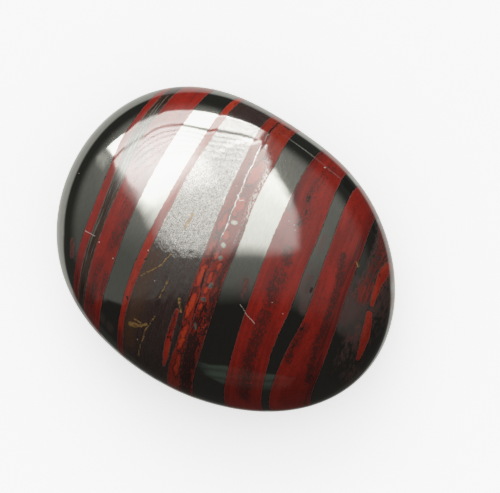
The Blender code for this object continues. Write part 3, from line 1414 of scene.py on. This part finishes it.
def board_material(name, tint):
    """A board that hides what lies behind it, and thins out where its glow falls off."""
    material, tree = new_material(name)
    clear = add_node(tree, "ShaderNodeBsdfTransparent")
    dark = add_node(tree, "ShaderNodeEmission", {"Color": tint, "Strength": 1.0})
    inputs = {0: read(tree, "glow"), 1: clear.outputs[0], 2: dark.outputs[0]}
    end_tree(tree, add_node(tree, "ShaderNodeMixShader", inputs))
    return material


def hang_window():
    daylight = light_material("window light", DAYLIGHT)
    low_bar = [(right, up - BAR_HALF_WIDTH, *BAR_EDGE) for right, up in WINDOW_BAR]
    high_bar = [(right, up + BAR_HALF_WIDTH, *BAR_EDGE) for right, up in WINDOW_BAR]
    make_sheet("window_pane", PANE_MIDDLE, (*low_bar, *PANE_RIGHT, *PANE_FOOT, *PANE_LEFT), daylight)
    make_sheet("window_strip", STRIP_MIDDLE, (*high_bar, *STRIP_HEAD), daylight)
    for name, (middle, softness, outline) in SOFT_GLOWS.items():
        make_sheet(name, middle, [(*place, softness, middle[2]) for place in outline], daylight)
    make_ribbon("top_line", TOP_LINE, TOP_LINE_WIDTH, TOP_LINE_GLOW, daylight, ROOM_RADIUS)


def hang_slats():
    slat = board_material("slat", SLAT_TINT)
    for number, drop in enumerate(SLAT_DROPS, start=1):
        line = [(right * (1 - drop / SLAT_NARROWING), up - drop) for right, up in WINDOW_BAR[1:]]
        shade = SLAT_SHADE * (1 - drop / SLAT_FADE)
        make_ribbon(f"slat_{number}", line, SLAT_WIDTH, shade, slat, NEARER_RADIUS)


def hang_boards():
    black = board_material("black board", BLACK_BOARD_TINT)
    for name, (middle, shade, outline) in DARK_BOARDS.items():
        make_sheet(name, (*middle, shade), [(*row, shade) for row in outline], black)
    teal = light_material("teal card", TEAL_TINT)
    make_rows("teal_card", TEAL_CARD, TEAL_ROWS, teal, NEARER_RADIUS)


def floor_material():
    """A white table, which glows less in the stone's shade."""
    material, tree = new_material("pale table")
    shade = add_node(tree, "ShaderNodeAmbientOcclusion", {"Distance": FLOOR_SHADE_REACH}).outputs["AO"]
    inputs = {
        "Base Color": colour(FLOOR_GREY, FLOOR_GREY, FLOOR_GREY),
        "Roughness": FLOOR_ROUGH,
        "Emission Color": colour(1, 1, 1),
        "Emission Strength": reckon(tree, "MULTIPLY", shade, FLOOR_GLOW),
    }
    end_tree(tree, add_node(tree, "ShaderNodeBsdfPrincipled", inputs))
    return material


def make_floor():
    mesh = bpy.data.meshes.new("floor")
    half = FLOOR_SIZE / 2
    corners = [(-half, -half, 0), (half, -half, 0), (half, half, 0), (-half, half, 0)]
    mesh.from_pydata(corners, [], [(0, 1, 2, 3)])
    mesh.materials.append(floor_material())
    floor = bpy.data.objects.new("floor", mesh)
    bpy.context.scene.collection.objects.link(floor)
    floor.location.z = -FLOOR_GAP
    floor.visible_glossy = False
    floor.visible_diffuse = False


# Where the bright table starts in the polish, in degrees from straight up,
# and how much later it starts to the right, at the foot, and at the top right and lower left
TABLE_START = 121
TABLE_START_RIGHT = 9
TABLE_START_FOOT = 32
TABLE_START_CORNER = 18
TABLE_BLUR = 9
TABLE_LIGHT = 1.0
TABLE_LIGHT_FOOT = 0.4
WALL_LIGHT = 0.27
WALL_LIGHT_LOW = 0.07
WALL_LIGHT_TOP = 0.42
WALL_RAMP = (78, 100)
WALL_TOP_RAMP = (80, 96, 1.0, 0.0)


def table_start(tree, right, up, foot):
    start = reckon(tree, "MULTIPLY_ADD", right, TABLE_START_RIGHT, TABLE_START)
    start = reckon(tree, "MULTIPLY_ADD", foot, TABLE_START_FOOT, start)
    corner = reckon(tree, "MAXIMUM", reckon(tree, "MULTIPLY", right, up), 0.0)
    return reckon(tree, "MULTIPLY_ADD", corner, TABLE_START_CORNER, start)


def room_seen_in_polish(tree):
    """The surroundings that the polish mirrors: dim walls, darker low down, and a bright table below them."""
    direction = add_node(tree, "ShaderNodeTexCoord").outputs["Generated"]
    height = add_node(tree, "ShaderNodeSeparateXYZ", {0: direction}).outputs["Z"]
    angle = reckon(tree, "MULTIPLY", reckon(tree, "ARCCOSINE", height), math.degrees(1))
    side = reckon_vector(tree, "NORMALIZE", reckon_vector(tree, "MULTIPLY", direction, (1, 1, 0)))
    right = reckon_vector(tree, "DOT_PRODUCT", side, PICTURE_RIGHT)
    up = reckon_vector(tree, "DOT_PRODUCT", side, PICTURE_UP)
    foot = reckon(tree, "MAXIMUM", reckon(tree, "MULTIPLY", up, -1.0), 0.0)
    dim_top = reckon(tree, "MULTIPLY", reckon(tree, "MAXIMUM", up, 0.0), ramp(tree, angle, *WALL_TOP_RAMP))
    wall = mix_numbers(tree, ramp(tree, angle, *WALL_RAMP), WALL_LIGHT, WALL_LIGHT_LOW)
    wall = reckon(tree, "MULTIPLY_ADD", dim_top, WALL_LIGHT_TOP, wall)
    table = mix_numbers(tree, foot, TABLE_LIGHT, TABLE_LIGHT_FOOT)
    past = reckon(tree, "SUBTRACT", angle, table_start(tree, right, up, foot))
    light = mix_numbers(tree, ramp(tree, past, 0.0, TABLE_BLUR), wall, table)
    return mix_colours(tree, 1.0, ROOM_TINT, light, blend="MULTIPLY")


def make_room():
    """The surroundings: pale where the camera sees past the floor, and the room and table in the polish."""
    world = bpy.data.worlds.new("room")
    world.use_nodes = True
    tree = world.node_tree
    tree.nodes.clear()
    seen = room_seen_in_polish(tree)
    rays = add_node(tree, "ShaderNodeLightPath").outputs
    stray = colour(STRAY_LIGHT, STRAY_LIGHT, STRAY_LIGHT)
    backdrop = colour(BACKDROP_GLOW, BACKDROP_GLOW, BACKDROP_GLOW)
    shown = mix_colours(tree, rays["Is Diffuse Ray"], seen, stray)
    shown = mix_colours(tree, rays["Is Camera Ray"], shown, backdrop)
    background = add_node(tree, "ShaderNodeBackground", {"Color": shown, "Strength": 1.0})
    end_tree(tree, background, "ShaderNodeOutputWorld")
    bpy.context.scene.world = world


KEY_WATTS = 104
KEY_SIZE = 2.2
KEY_SIDE = (-8, 50)


def place_key():
    """A soft lamp that lights the colours of the stone and isn't mirrored in it."""
    data = bpy.data.lights.new("key_light", "AREA")
    data.shape = "DISK"
    data.size = KEY_SIZE
    data.energy = KEY_WATTS
    light = bpy.data.objects.new("key_light", data)
    bpy.context.scene.collection.objects.link(light)
    light.location = towards(*KEY_SIDE)
    light.rotation_euler = light.location.to_track_quat("Z", "Y").to_euler()
    light.visible_glossy = False
    light.visible_camera = False


# How the camera's film answers: light in, light out. Dark tones stay as they are, bright ones roll off.
FILM_RANGE = 8.0
FILM_ANSWER = ((0.2, 0.2), (0.4, 0.36), (0.6, 0.48), (0.87, 0.62), (1.35, 0.76), (2.3, 0.9), (4.0, 0.94))
FILM_WHITE = 0.95


def expose_film():
    view = bpy.context.scene.view_settings
    view.view_transform = "Standard"
    view.use_curve_mapping = True
    mapping = view.curve_mapping
    mapping.clip_max_x = FILM_RANGE
    mapping.extend = "HORIZONTAL"
    for channel in range(3):
        curve = mapping.curves[channel]
        curve.points[1].location = (FILM_RANGE, FILM_WHITE)
        for light_in, light_out in FILM_ANSWER:
            curve.points.new(light_in, light_out)
    mapping.update()


def light_studio():
    make_room()
    place_key()
    hang_window()
    hang_slats()
    hang_boards()
    make_floor()
    expose_film()


def main():
    place_camera()
    skin = make_skin()
    skin.data.materials.append(stone_material())
    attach(skin, "root")
    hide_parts("mugglestone")
    light_studio()


main()
